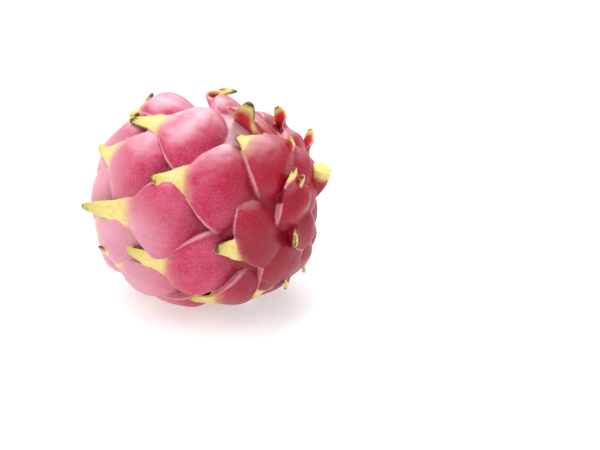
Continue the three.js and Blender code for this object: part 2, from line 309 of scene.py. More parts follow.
class Draw(Enum):
    """What a repeatable draw for a scale is for."""

    SKEW = 1
    LEAN = 2
    HEIGHT = 3
    LENGTH = 4
    DROOP = 5
    TWIST = 6
    WITHERING = 7


def or_rule(own: float | None, rule: float) -> float:
    """Take a scale's own value where it has one, or else the rule's."""
    return rule if own is None else own


class Scale:
    """One scale: a fleshy pillow on the body that ends in a free pointed blade."""

    def __init__(self, number: int, body: Body, spiral: Spiral, habit: ScaleHabit) -> None:
        """Work out the scale's place, size and attitude.

        Args:
            number: The scale's number along the spiral.
            body: The egg that it sits on.
            spiral: The rule for its place.
            habit: The sizes of a full-grown scale.
        """
        own = OWN_WAYS.get(number, OwnWay())
        turn, station = spiral.turn(number), spiral.station(number)
        equator = body.radius * np.array([0, -math.cos(turn), math.sin(turn)])
        seat = body.walk(equator, np.array([1.0, 0, 0]), station)
        size = math.sqrt(math.hypot(seat.point[1], seat.point[2]) / body.radius)

        def drawn(what: Draw) -> float:
            """Draw this scale's number for one purpose."""
            return scatter(number, what.value)

        crest = math.cos(turn - math.radians(habit.crest_turn))
        stem_end = float(smoothstep(station, habit.ends_begin, habit.stem_end_full))
        flower_end = float(smoothstep(-station, habit.ends_begin, habit.flower_end_full))
        crested = float(smoothstep(crest, habit.crest_begins, habit.crest_full))
        curl = or_rule(own.curl, crested * (1 - stem_end) * (1 - flower_end))
        rule_skew = habit.skew + habit.skew_scatter * drawn(Draw.SKEW)
        skew = math.radians(or_rule(own.skew, rule_skew))
        straight = habit.blade * (1 + habit.size_scatter * drawn(Draw.LENGTH))
        length = or_rule(own.blade, lerp(straight, habit.curled_blade, curl))
        shorter = size**habit.blade_shrinking * (1 - habit.flower_shortening * flower_end)
        lean = habit.stem_lean * stem_end + habit.flower_lean * flower_end
        lean = min(max(lean + habit.lean_scatter * drawn(Draw.LEAN), 0), 1)
        root_half = lerp(habit.root_half_width, habit.curled_half_width, curl)
        front = lerp(habit.pillow_front, habit.curled_front, curl)
        narrower = 1 - habit.stem_narrowing * stem_end
        plump = or_rule(own.height, 1 + habit.size_scatter * drawn(Draw.HEIGHT))
        twist = or_rule(own.twist, habit.twist_scatter * drawn(Draw.TWIST))
        droop = or_rule(own.droop, 1 + habit.droop_scatter * drawn(Draw.DROOP))

        self.body = body
        self.habit = habit
        self.size = size
        self.point = seat.point
        self.heading = -seat.heading * math.cos(skew) - seat.across * math.sin(skew)
        self.back = habit.pillow_back * size
        self.front = front * size * own.front
        self.half = habit.half_width * size * own.width * narrower
        self.root_half = root_half * size * (1 + habit.stem_blade_widening * stem_end)
        self.height = habit.height * math.sqrt(size) * plump
        self.blade = length * shorter
        self.bent = curl
        self.stem_end = stem_end
        self.withering = 0.5 + 0.5 * drawn(Draw.WITHERING)
        self.curl = math.radians(habit.curl) * curl
        self.erect = math.radians(habit.erect) * lean * (1 - curl)
        self.twist = math.radians(twist)
        self.droop = math.radians(habit.droop) * droop * (1 - curl)
        tip = self.at(self.front)
        yaw = -math.radians(own.yaw)
        heading = turned(tip.heading, tip.normal, yaw)
        across = turned(tip.across, tip.normal, yaw)
        self.root = Place(tip.point, heading, tip.normal, across)

    def at(self, s: float) -> Place:
        """Find the place on the body at a distance in front of the scale's middle."""
        return self.body.walk(self.point, self.heading, s)

    def half_width(self, s: float) -> float:
        """Find half the pillow's width at a distance in front of its middle."""
        habit = self.habit
        if s < 0:
            back = min(1.0, -s / self.back)
            return self.half * math.sqrt(1 - habit.back_narrowing * back**habit.back_roundness)
        ahead = min(1.0, s / self.front)
        return lerp(self.root_half, self.half, (1 - ahead) * (1 + habit.shoulder * ahead))

    def top(self, s: float, v: Array) -> Array:
        """Find the height of the pillow's skin over the body at shares v of its half width."""
        habit = self.habit
        rise = smoothstep(s, -self.back * 1.05, 1.5 * self.size)
        fall = smoothstep(s, 2 * self.size, self.front * 1.1)
        crown = self.height * (lerp(habit.back_crown, 1, rise) - habit.front_fall * fall)
        lifted = smoothstep(s, -10 * self.size, 6 * self.size)
        rim = self.height * lerp(habit.back_rim, habit.front_rim, lifted)
        return lerp(rim, crown, 1 - np.abs(v) ** habit.crown_roundness)

    def pillow_row(self, s: float, v: Array, on_top: bool) -> Array:
        """Find points of the pillow across one station.

        Args:
            s: Distance in front of the pillow's middle.
            v: Shares of the half width, from -1 to 1.
            on_top: True for the skin, False for the hidden root.

        Returns:
            One point for each share.
        """
        habit, place = self.habit, self.at(s)
        top = self.top(s, v)
        freed = smoothstep(s, self.front - 3, self.front + 5)
        height = top if on_top else lerp(-habit.root_depth, top - habit.thickness, freed)
        inset = 1.0 if on_top else lerp(habit.root_inset, 1, freed)
        angle = (v * inset * self.half_width(s)) / habit.wrap
        arm = habit.wrap + height
        sideways = np.outer(arm * np.sin(angle), place.across)
        outwards = np.outer(arm * np.cos(angle) - habit.wrap, place.normal)
        return place.point + sideways + outwards

    def blade_angle(self, reach: float) -> float:
        """Find the midrib's angle over the surface at a distance along the blade."""
        curled = self.curl * smoothstep(reach, 0, self.habit.curl_length * self.size)
        raised = self.erect * smoothstep(reach, -2, 0.5 * self.blade)
        return float(curled + raised - self.droop * min(max(reach / self.blade, 0), 1))

    def blade_row(self, reach: float, v: Array, on_top: bool) -> Array:
        """Find points of the free blade across one station.

        Args:
            reach: Distance along the midrib from the blade's root.
            v: Shares of the half width, from -1 to 1.
            on_top: True for the outer face, False for the inner one.

        Returns:
            One point for each share.
        """
        habit, root, steps = self.habit, self.root, self.habit.midrib_steps
        reach = min(max(reach, 0.0), self.blade)
        lift = float(self.top(self.front, np.zeros(1))[0]) - 0.5 * habit.thickness
        spine = root.point + root.normal * lift
        for i in range(steps):
            angle = self.blade_angle((i + 0.5) * reach / steps)
            way = root.heading * math.cos(angle) + root.normal * math.sin(angle)
            spine = spine + way * (reach / steps)
        angle, part = self.blade_angle(reach), reach / self.blade
        along = root.heading * math.cos(angle) + root.normal * math.sin(angle)
        twist = self.twist * float(smoothstep(part, 0.1, 0.7))
        upright = root.normal * math.cos(angle) - root.heading * math.sin(angle)
        facing = turned(upright, along, twist)
        across = turned(root.across, along, twist)
        waist = 1 - habit.taper_waist * math.sin(math.pi * part)
        taper = (1 - part) ** habit.taper_roundness * waist
        half = lerp(habit.tip_half_width, self.root_half, taper)
        tightest = lerp(habit.blade_cup, habit.curled_blade_cup, min(self.curl, 1))
        cup = lerp(habit.wrap, tightest, float(smoothstep(part, 0, 0.5)))
        bend = v * half / cup
        middle = lerp(habit.thickness, habit.margin, part)
        thick = lerp(habit.margin, middle, 1 - v * v)
        offset = (0.5 if on_top else -0.5) * thick
        sideways = np.outer((cup + offset) * np.sin(bend), across)
        outwards = np.outer((cup + offset) * np.cos(bend) - cup, facing)
        return spine + sideways + outwards

    def row(self, s: float, v: Array, on_top: bool) -> Array:
        """Find points across the scale, s running from the pillow's back to the blade's tip."""
        reach = s - self.front
        blend = lerp(0.35 * self.blade, self.habit.curl_blend, self.bent)
        free = float(smoothstep(reach, -1, blend))
        if free <= 0:
            return self.pillow_row(s, v, on_top)
        blade = self.blade_row(reach, v, on_top)
        if free >= 1:
            return blade
        along = min(s, self.front + 0.5 * max(0.0, reach))
        return lerp(self.pillow_row(along, v, on_top), blade, free)


@dataclass
class Shell:
    """A closed shell of points and faces, with what each point knows of its place on a scale."""

    points: list[Array] = field(default_factory=list)
    faces: list[tuple[int, ...]] = field(default_factory=list)
    knows: list[Array] = field(default_factory=list)
    count: int = 0

    def loft(self, rings: list[Array], knows: list[Array]) -> None:
        """Add a closed shell through rings of points.

        Args:
            rings: Equal rings, turning right-handed about the way that they advance.
            knows: For each ring, one row of values for each point.
        """
        sides, start = len(rings[0]), self.count
        for i in range(len(rings) - 1):
            for j in range(sides):
                a = start + i * sides + j
                b = start + i * sides + (j + 1) % sides
                self.faces.append((a, b, b + sides, a + sides))
        last = start + (len(rings) - 1) * sides
        self.faces.append(tuple(start + j for j in reversed(range(sides))))
        self.faces.append(tuple(last + j for j in range(sides)))
        self.points.extend(rings)
        self.knows.extend(knows)
        self.count += len(rings) * sides

    def positions(self) -> Array:
        """Give every point as one array."""
        return np.concatenate(self.points)

    def knowledge(self) -> Array:
        """Give every point's values as one array."""
        return np.concatenate(self.knows)


class Know(Enum):
    """What the skin knows at each point, as named attributes of the mesh."""

    BLADE = "blade"
    EDGE = "edge"
    INNER = "inner"
    WITHERING = "withering"
    PLUMP = "plump"


def put(name: str, data: Any) -> bpy.types.Object:
    """Put an object in the scene."""
    made = bpy.data.objects.new(name, data)
    bpy.context.scene.collection.objects.link(made)
    return made


def read_points(mesh: bpy.types.Mesh) -> Array:
    """Read where every point of a mesh is."""
    points = np.empty(len(mesh.vertices) * 3, np.float32)
    mesh.vertices.foreach_get("co", points)
    return points.reshape(-1, 3)


def move_points(mesh: bpy.types.Mesh, points: Array) -> None:
    """Move every point of a mesh."""
    mesh.vertices.foreach_set("co", points.ravel())
    mesh.update()


def known(over: Array, *values: Any) -> Array:
    """Spread values over a ring's points, one for each member of Know and in its order."""
    return np.stack([np.broadcast_to(value, over.shape) for value in values], -1)


def add_mesh(name: str, points: Array, faces: list[tuple[int, ...]]) -> bpy.types.Object:
    """Make a mesh object in the scene.

    Args:
        name: The object's name.
        points: Points in metres.
        faces: Corner numbers of each face.

    Returns:
        The new object.
    """
    mesh = bpy.data.meshes.new(name)
    mesh.from_pydata(points.tolist(), [], faces)
    mesh.update()
    return put(name, mesh)


def baked(thing: bpy.types.Object) -> bpy.types.Mesh:
    """Turn an object's modifiers into a plain mesh of its own and remove them."""
    graph = bpy.context.evaluated_depsgraph_get()
    mesh = bpy.data.meshes.new_from_object(thing.evaluated_get(graph))
    thing.modifiers.clear()
    thing.data = mesh
    return mesh


def add_node(
    tree: bpy.types.NodeTree,
    kind: str,
    links: dict[Any, Any] | None = None,
    **sets: Any,
) -> Any:
    """Add a node with its settings and links.

    Args:
        tree: The tree that takes the node.
        kind: The node's type name.
        links: Input socket to a value or to another node's output socket.
        sets: Properties of the node itself.

    Returns:
        The new node.
    """
    node = tree.nodes.new(kind)
    for key, value in sets.items():
        setattr(node, key, value)
    for socket, value in (links or {}).items():
        if isinstance(value, bpy.types.NodeSocket):
            tree.links.new(value, node.inputs[socket])
        else:
            node.inputs[socket].default_value = value
    return node


class Painter:
    """Adds shader nodes to one new material and gives back their outputs."""

    def __init__(self, name: str) -> None:
        """Start an empty material.

        Args:
            name: The material's name.
        """
        self.made = bpy.data.materials.new(name)
        self.made.use_nodes = True
        self.tree = self.made.node_tree
        self.tree.nodes.clear()
        self.place = add_node(self.tree, "ShaderNodeTexCoord").outputs["Object"]

    def know(self, what: Know) -> Any:
        """Read one of the skin's attributes."""
        node = add_node(self.tree, "ShaderNodeAttribute", attribute_name=what.value)
        return node.outputs["Fac"]

    def normal(self) -> Any:
        """Read the surface's own direction."""
        return add_node(self.tree, "ShaderNodeNewGeometry").outputs["Normal"]

    def along(self, vector: Any, axis: str) -> Any:
        """Take one part of a vector, X, Y or Z."""
        return add_node(self.tree, "ShaderNodeSeparateXYZ", {0: vector}).outputs[axis]

    def ramp(self, value: Any, low: float, high: float, first: float = 0, last: float = 1) -> Any:
        """Map a range smoothly onto another.

        Args:
            value: What is mapped.
            low: Where the ramp begins, which may be the larger end.
            high: Where the ramp ends.
            first: The outcome before the ramp.
            last: The outcome after it.

        Returns:
            The outcome's socket.
        """
        links = {0: value, 1: low, 2: high, 3: first, 4: last}
        kind = "ShaderNodeMapRange"
        return add_node(self.tree, kind, links, interpolation_type="SMOOTHSTEP").outputs[0]

    def mix(self, share: Any, a: Any, b: Any) -> Any:
        """Mix two colours, given as sockets or as hex codes, by the share of the second."""
        first, second = (srgb(c) if isinstance(c, str) else c for c in (a, b))
        links = {"Factor": share, 6: first, 7: second}
        return add_node(self.tree, "ShaderNodeMix", links, data_type="RGBA").outputs[2]

    def maths(self, operation: str, a: Any, b: Any) -> Any:
        """Work out one number from two."""
        return add_node(self.tree, "ShaderNodeMath", {0: a, 1: b}, operation=operation).outputs[0]

    def times(self, a: Any, b: Any) -> Any:
        """Multiply two numbers."""
        return self.maths("MULTIPLY", a, b)

    def plus(self, a: Any, b: Any) -> Any:
        """Add two numbers."""
        return self.maths("ADD", a, b)

    def wobbled(self, value: Any, chance: Any, reach: float) -> Any:
        """Shift a value up and down by a noise or a draw that lies about one half."""
        return self.plus(value, self.times(self.maths("SUBTRACT", chance, 0.5), reach))

    def lumps(
        self,
        size_mm: float,
        detail: float,
        stretch: tuple[float, float, float] = (1, 1, 1),
    ) -> Any:
        """Draw a noise whose lumps have a size in millimetres."""
        mapping = add_node(self.tree, "ShaderNodeMapping", {0: self.place, "Scale": stretch})
        links = {"Vector": mapping.outputs[0], "Scale": 1 / (size_mm * MM), "Detail": detail}
        return add_node(self.tree, "ShaderNodeTexNoise", links).outputs[0]

    def relief(self, height: Any, strength: float, depth_mm: float) -> Any:
        """Roughen the surface's direction by a height."""
        links = {"Strength": strength, "Distance": depth_mm * MM, "Height": height}
        return add_node(self.tree, "ShaderNodeBump", links).outputs[0]

    def finished(self, values: dict[str, Any]) -> bpy.types.Material:
        """Give the surface its values and hand over the material.

        Args:
            values: What goes into the shader's named sockets.

        Returns:
            The finished material.
        """
        shader = add_node(self.tree, "ShaderNodeBsdfPrincipled", values)
        add_node(self.tree, "ShaderNodeOutputMaterial", {"Surface": shader.outputs[0]})
        return self.made


@dataclass(frozen=True)
class Marks:
    """The peel's natural unevenness, each a noise about one half."""

    blotch: Any
    mottle: Any
    grain: Any
    streak: Any


@dataclass(frozen=True)
class PeelFinish:
    """Ripe dragon fruit peel: waxy leather, pink over red flesh and yellow-green at its tips.

    The ranges are places in metres in the part's frame, from none of an effect to all of it.
    """

    pink: str = "#C52454"
    light: str = "#D9577D"
    red: str = "#A30C27"
    deep: str = "#860A24"
    bloom_and_highlight: str = "#F0CCD8"
    speck: str = "#E2839D"
    rim: str = "#EC9AAA"
    inner: str = "#BE2430"
    yellow: str = "#EDCB6E"
    cream: str = "#F5E4A2"
    green: str = "#BDBB4C"
    brown: str = "#5A4024"
    blotch_mm: float = 14
    mottle_mm: float = 1.3
    grain_mm: float = 0.6
    streak_mm: float = 1.6
    streak_stretch: tuple[float, float, float] = (0.25, 1, 1)
    stemward_shade_x: tuple[float, float] = (-0.014, 0.034)
    low_stemward_shade_x: tuple[float, float] = (0.004, 0.024)
    low_stemward_shade_z: tuple[float, float] = (0.06, 0.036)
    clear_x: tuple[float, float] = (0.0, 0.03)
    pale_flower_end_x: tuple[float, float] = (-0.022, -0.046)
    pale_low_side_x: tuple[float, float] = (-0.004, -0.028)
    pale_low_side_z: tuple[float, float] = (0.068, 0.046)

    def flesh(self, paint: Painter, marks: Marks) -> Any:
        """Colour the pillows: pink, with painted shade that makes them redder towards the stem
        side, darker low on that side and deep in the creases between the scales.

        Args:
            paint: What adds the nodes.
            marks: The peel's unevenness.

        Returns:
            The colour's socket.
        """
        x, z = paint.along(paint.place, "X"), paint.along(paint.place, "Z")
        shade = paint.plus(paint.times(marks.mottle, 0.3), paint.times(marks.blotch, 0.7))
        colour = paint.mix(paint.ramp(shade, 0.38, 0.66), self.pink, self.light)
        # Painted shade: redder towards the stem side, which lies away from the light, broken up by
        # blotches.
        stemward_shade = paint.ramp(x, *self.stemward_shade_x, 0, 0.9)
        stemward_shade = paint.plus(stemward_shade, paint.times(marks.blotch, 0.15))
        colour = paint.mix(stemward_shade, colour, self.red)
        # Painted shade: deep red in the creases between the pillows, away from their crowns, broken
        # up by blotches.
        between = paint.ramp(paint.know(Know.PLUMP), 0.7, 0.0)
        between = paint.times(between, paint.ramp(marks.blotch, 0.25, 0.75, 0.65, 1.0))
        colour = paint.mix(between, colour, self.deep)
        colour = paint.mix(paint.ramp(marks.streak, 0.5, 0.75, 0, 0.3), colour, self.deep)
        # Painted shade: darker still low down on the stem side.
        low_stemward_shade = paint.times(paint.ramp(x, *self.low_stemward_shade_x, 0, 0.6), paint.ramp(z, *self.low_stemward_shade_z))
        colour = paint.mix(low_stemward_shade, colour, self.deep)
        speckled = paint.ramp(marks.grain, 0.48, 0.74, 0, 0.32)
        speckled = paint.times(speckled, paint.ramp(x, *self.clear_x, 1, 0.3))
        return paint.mix(speckled, colour, self.speck)

    def haze(self, paint: Painter, marks: Marks, colour: Any) -> Any:
        """Lay a waxy haze over the colour, with a painted highlight on the upward-facing tops,
        paler towards the flower end, and pale rims round the pillows with a painted highlight along
        them.

        Args:
            paint: What adds the nodes.
            marks: The peel's unevenness.
            colour: The colour so far.

        Returns:
            The new colour's socket.
        """
        x, z = paint.along(paint.place, "X"), paint.along(paint.place, "Z")
        # Waxy haze with a painted highlight: paler on upward-facing parts, where the light falls,
        # and less so towards the stem.
        lit_top_haze = paint.ramp(paint.along(paint.normal(), "Z"), 0.55, 1.0, 0, 0.65)
        lit_top_haze = paint.times(lit_top_haze, paint.ramp(marks.blotch, 0.35, 0.6, 0.45, 1))
        lit_top_haze = paint.times(lit_top_haze, paint.ramp(x, *self.clear_x, 1, 0.4))
        # Paler towards the flower end, and low down on that half.
        at_end = paint.ramp(x, *self.pale_flower_end_x, 0, 0.5)
        at_side = paint.ramp(x, *self.pale_low_side_x, 0, 0.42)
        at_side = paint.times(at_side, paint.ramp(z, *self.pale_low_side_z))
        bloom_and_highlight = paint.maths("MAXIMUM", paint.maths("MAXIMUM", lit_top_haze, at_end), at_side)
        colour = paint.mix(bloom_and_highlight, colour, self.bloom_and_highlight)
        # Pale lips along the pillows' fronts, with a painted highlight on their raised edges.
        rim = paint.ramp(paint.know(Know.EDGE), 0.88, 0.98)
        rim = paint.times(rim, paint.ramp(paint.know(Know.BLADE), -0.6, -0.3, 0, 0.8))
        return paint.mix(rim, colour, self.rim)

    def tips(self, paint: Painter, marks: Marks, colour: Any) -> Any:
        """Turn the blades yellow and green, their inner faces red, partly their own colour and
        partly painted shade in the pocket under the blade, and their ends dry and brown.

        Args:
            paint: What adds the nodes.
            marks: The peel's unevenness.
            colour: The colour so far.

        Returns:
            The new colour's socket.
        """
        blade, edge = paint.know(Know.BLADE), paint.know(Know.EDGE)
        tip = paint.mix(paint.ramp(marks.mottle, 0.3, 0.7, 0.2, 0.7), self.yellow, self.cream)
        greener = paint.ramp(marks.streak, 0.4, 0.75, 0, 0.3)
        greener = paint.plus(greener, paint.ramp(blade, 0.35, 0.9, 0, 0.55))
        tip = paint.mix(greener, tip, self.green)
        colour = paint.mix(
            paint.ramp(paint.wobbled(blade, marks.blotch, 0.3), -0.12, 0.24), colour, tip
        )
        worn = paint.times(paint.ramp(edge, 0.8, 0.97), paint.ramp(marks.blotch, 0.42, 0.62))
        worn = paint.times(worn, paint.ramp(blade, 0.1, 0.5, 0, 0.75))
        colour = paint.mix(worn, colour, self.brown)
        # Red on the inner faces, partly their own colour and partly painted shade in the pocket
        # under the blade.
        inner_face_and_pocket_shade = paint.times(paint.know(Know.INNER), paint.ramp(blade, 0.75, 0.35))
        colour = paint.mix(inner_face_and_pocket_shade, colour, self.inner)
        dry = paint.wobbled(blade, marks.mottle, 0.5)
        dry = paint.wobbled(dry, paint.know(Know.WITHERING), 0.3)
        return paint.mix(paint.ramp(dry, 0.8, 1.02), colour, self.brown)

    def material(self) -> bpy.types.Material:
        """Build the peel's material.

        Returns:
            A material that reads the skin's own attributes and Object coordinates.
        """
        paint = Painter("dragon_fruit_peel")
        marks = Marks(
            blotch=paint.lumps(self.blotch_mm, 2),
            mottle=paint.lumps(self.mottle_mm, 4),
            grain=paint.lumps(self.grain_mm, 2),
            streak=paint.lumps(self.streak_mm, 3, self.streak_stretch),
        )
        colour = self.tips(paint, marks, self.haze(paint, marks, self.flesh(paint, marks)))
        height = paint.plus(paint.times(marks.mottle, 0.6), paint.times(marks.grain, 0.4))
        return paint.finished(
            {
                "Base Color": colour,
                "Roughness": paint.ramp(marks.mottle, 0.2, 0.8, 0.36, 0.52),
                "Subsurface Weight": 0.12,
                "Subsurface Radius": (1.0, 0.25, 0.2),
                "Subsurface Scale": 2.5 * MM,
                "IOR": 1.42,
                "Specular IOR Level": 0.32,
                "Coat Weight": 0.2,
                "Coat Roughness": 0.27,
                "Normal": paint.relief(height, 0.25, 0.4),
            }
        )


@dataclass(frozen=True)
class DryFinish:
    """Withered flower tissue: thin, brown and papery."""

    dark: str = "#2E2118"
    pale: str = "#8A6A45"
    grain_mm: float = 1.111

    def material(self) -> bpy.types.Material:
        """Build the dry tissue's material."""
        paint = Painter("withered_flower")
        grain = paint.lumps(self.grain_mm, 4)
        return paint.finished(
            {
                "Base Color": paint.mix(grain, self.dark, self.pale),
                "Roughness": 0.85,
                "Normal": paint.relief(grain, 0.5, 0.3),
            }
        )


@dataclass(frozen=True)
class DriedFlower:
    """What is left of the flower in the navel: dry strips that lean out round a small scar.

    Sizes are in millimetres, leans in radians, and growth and the scar's form are shares.
    """

    strips: int = 13
    seed: int = 5
    ring_radius: float = 2.4
    length: float = 3.6
    half_width: float = 0.9
    tip_radius: float = 0.1
    strip_form: tuple[float, float, float] = (0.3, 1, 1)
    least_lean: tuple[float, float, float] = (-0.25, 0.1, -0.6)
    most_lean: tuple[float, float, float] = (0.25, 0.75, 0.6)
    least_growth: tuple[float, float, float] = (0.7, 0.7, 0.55)
    most_growth: tuple[float, float, float] = (1.2, 1.2, 1.1)
    scar_form: tuple[float, float, float] = (1.5, 1.5, 0.35)

    def tree(self) -> bpy.types.NodeTree:
        """Describe the ring of dry strips, standing on +Z.

        Returns:
            A geometry node tree with named inputs.
        """
        tree = bpy.data.node_groups.new("dry_strips", "GeometryNodeTree")
        kinds = {
            "Strips": "NodeSocketInt",
            "Seed": "NodeSocketInt",
            "Ring Radius": "NodeSocketFloat",
            "Length": "NodeSocketFloat",
            "Half Width": "NodeSocketFloat",
            "Material": "NodeSocketMaterial",
        }
        for name, kind in kinds.items():
            tree.interface.new_socket(name, in_out="INPUT", socket_type=kind)
        tree.interface.new_socket("Geometry", in_out="OUTPUT", socket_type="NodeSocketGeometry")
        given = add_node(tree, "NodeGroupInput").outputs

        def drawn(least: tuple[float, ...], most: tuple[float, ...]) -> Any:
            """Draw three numbers for each strip."""
            links = {0: least, 1: most, "Seed": given["Seed"]}
            kind = "FunctionNodeRandomValue"
            return add_node(tree, kind, links, data_type="FLOAT_VECTOR").outputs[0]

        links = {"Vertices": given["Strips"], "Radius": given["Ring Radius"]}
        ring = add_node(tree, "GeometryNodeMeshCircle", links)
        sides = {
            "Vertices": 8,
            "Side Segments": 5,
            "Radius Top": self.tip_radius * MM,
            "Radius Bottom": given["Half Width"],
            "Depth": given["Length"],
        }
        strip = add_node(tree, "GeometryNodeMeshCone", sides)
        links = {"Geometry": strip.outputs["Mesh"], "Scale": self.strip_form}
        flat = add_node(tree, "GeometryNodeTransform", links)
        spot = add_node(tree, "GeometryNodeInputPosition").outputs[0]
        outwards = add_node(
            tree, "FunctionNodeAlignRotationToVector", {"Vector": spot}, axis="X", pivot_axis="Z"
        )
        lean = drawn(self.least_lean, self.most_lean)
        leaning = add_node(
            tree,
            "FunctionNodeRotateRotation",
            {"Rotation": outwards.outputs[0], "Rotate By": lean},
            rotation_space="LOCAL",
        )
        strips = add_node(
            tree,
            "GeometryNodeInstanceOnPoints",
            {
                "Points": ring.outputs["Mesh"],
                "Instance": flat.outputs["Geometry"],
                "Rotation": leaning.outputs[0],
                "Scale": drawn(self.least_growth, self.most_growth),
            },
        )
        links = {"Segments": 24, "Rings": 12, "Radius": given["Ring Radius"]}
        ball = add_node(tree, "GeometryNodeMeshUVSphere", links)
        links = {"Geometry": ball.outputs["Mesh"], "Scale": self.scar_form}
        scar = add_node(tree, "GeometryNodeTransform", links)
        both = add_node(tree, "GeometryNodeJoinGeometry", {0: strips.outputs[0]})
        tree.links.new(scar.outputs["Geometry"], both.inputs[0])
        real = add_node(tree, "GeometryNodeRealizeInstances", {"Geometry": both.outputs[0]})
        links = {"Geometry": real.outputs[0], "Material": given["Material"]}
        dressed = add_node(tree, "GeometryNodeSetMaterial", links)
        add_node(tree, "NodeGroupOutput", {0: dressed.outputs[0]})
        return tree

    def build(self) -> bpy.types.Object:
        """Grow the strips and fit them to their place in the navel.

        Returns:
            The finished piece.
        """
        flower = add_mesh("withered_flower", np.zeros((1, 3)), [])
        grow = flower.modifiers.new("grow", "NODES")
        tree = self.tree()
        values = {
            "Strips": self.strips,
            "Seed": self.seed,
            "Ring Radius": self.ring_radius * MM,
            "Length": self.length * MM,
            "Half Width": self.half_width * MM,
            "Material": DryFinish().material(),
        }
        grow.node_group = tree
        for item in tree.interface.items_tree:
            if item.in_out == "INPUT":
                grow[item.identifier] = values[item.name]
        mesh = baked(flower)
        # Lays it over, so that it faces the way that the flower end does
        mesh.transform(Matrix(((0, 0, -1, 0), (0, 1, 0, 0), (1, 0, 0, 0), (0, 0, 0, 1))))
        points = read_points(mesh)
        low, high = (np.array(corner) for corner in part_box("dried_flower"))
        share = (points - points.min(0)) / (points.max(0) - points.min(0))
        move_points(mesh, low + share * (high - low))
        mesh.shade_smooth()
        return flower


